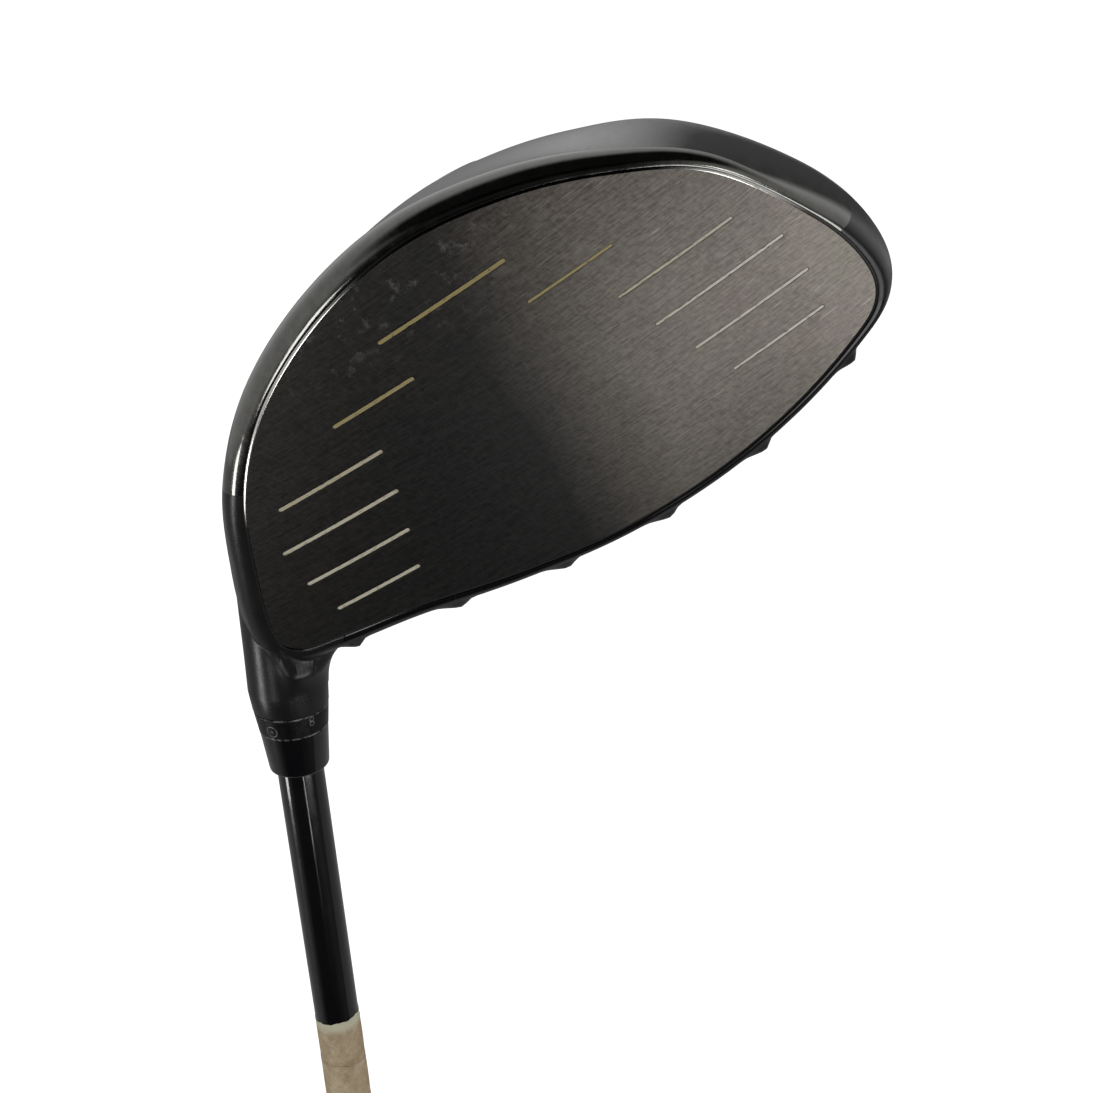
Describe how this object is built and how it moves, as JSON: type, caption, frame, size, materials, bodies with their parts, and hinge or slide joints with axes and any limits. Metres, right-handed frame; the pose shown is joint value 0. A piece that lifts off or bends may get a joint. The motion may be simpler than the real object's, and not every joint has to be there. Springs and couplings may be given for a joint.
{
  "type": "golf driver",
  "caption": "Adjustable golf driver with a large hollow head, a tapered graphite shaft and a rubber grip; the head comes off its splined sleeve and a rear sole weight slides.",
  "frame": {"origin": "centre of the grip cap's flat end face, where the vent hole opens", "axes": "+Z along the shaft from the grip to the head, +X towards the target out of the face, +Y mostly towards the toe"},
  "size_m": [0.1166, 0.1237, 1.1895],
  "materials": {
    "head_satin": "satin charcoal over cast titanium",
    "crown_paint": "dark painted composite",
    "face_metal": "brushed, darkened, worn",
    "line_paint": "matte pale khaki paint",
    "smoked_chrome": "polished, smoked",
    "badge": "brushed, blank",
    "steel": "bright turned",
    "dark_steel": "blackened",
    "track_black": "satin black",
    "weight_metal": "bead-blasted",
    "slug_metal": "turned",
    "sleeve_black": "satin black, worn marks",
    "ferrule_gloss": "gloss black",
    "shaft_gloss": "gloss black over graphite",
    "plug_plastic": "matte",
    "masking_tape": "creped paper, stained",
    "grip_tape": "paper backed",
    "grip_rubber": "textured rubber",
    "cap_rubber": "smooth rubber"
  },
  "bodies": {
    "shaft_assembly": {"adapter_sleeve": "sleeve_black", "ferrule": "ferrule_gloss", "shaft": "shaft_gloss", "tip_plug": "plug_plastic", "masking_tape": "masking_tape", "grip_tape": "grip_tape", "grip_body": "grip_rubber", "grip_cap": "cap_rubber"},
    "head": {"head_body": "head_satin", "crown_shell": "crown_paint", "face_plate": "face_metal", "scoreline_paint": "line_paint", "sole_band": "smoked_chrome", "sole_badge": "badge", "spline_seat": "steel", "screw_bushing": "steel", "screw_retaining_ring": "dark_steel", "weight_track": "track_black"},
    "hosel_fastener": {"hosel_screw_washer": "steel"},
    "hosel_screw_turn": {"hosel_screw": "steel"},
    "slider": {"slide_weight": "weight_metal", "weight_slugs": "slug_metal", "weight_nut": "steel"},
    "weight_fastener": {"weight_screw_clip": "dark_steel"},
    "weight_screw_turn": {"weight_screw": "steel"}
  },
  "joints": [
    {"name": "head_release", "type": "slide", "parent": "shaft_assembly", "child": "head", "axis": [0, 0, 1], "range_m": [0, 0.045]},
    {"name": "hosel_screw_travel", "type": "slide", "parent": "head", "child": "hosel_fastener", "axis": [0, 0, 1], "range_m": [0, 0.006]},
    {"name": "hosel_screw_spin", "type": "hinge", "parent": "hosel_fastener", "child": "hosel_screw_turn", "pos_m": [0, 0, 1.13], "axis": [0, 0, 1], "range_deg": [0, 2701]},
    {"name": "weight_slide", "type": "hinge", "parent": "head", "child": "slider", "pos_m": [-0.038, 0.03482, 1.16564], "axis": [0, 0.4985, -0.8669], "range_deg": [-14, 14]},
    {"name": "weight_screw_travel", "type": "slide", "parent": "slider", "child": "weight_fastener", "axis": [-0.4695, -0.4401, 0.7654], "range_m": [0, 0.0016]},
    {"name": "weight_screw_spin", "type": "hinge", "parent": "weight_fastener", "child": "weight_screw_turn", "pos_m": [-0.083, 0.03482, 1.16564], "axis": [-0.4695, -0.4401, 0.7654], "range_deg": [0, 824]}
  ],
  "couplings": [
    {"joint": "hosel_screw_spin", "follows": "hosel_screw_travel", "rad_per_m": 7854},
    {"joint": "weight_screw_spin", "follows": "weight_screw_travel", "rad_per_m": 8976}
  ]
}
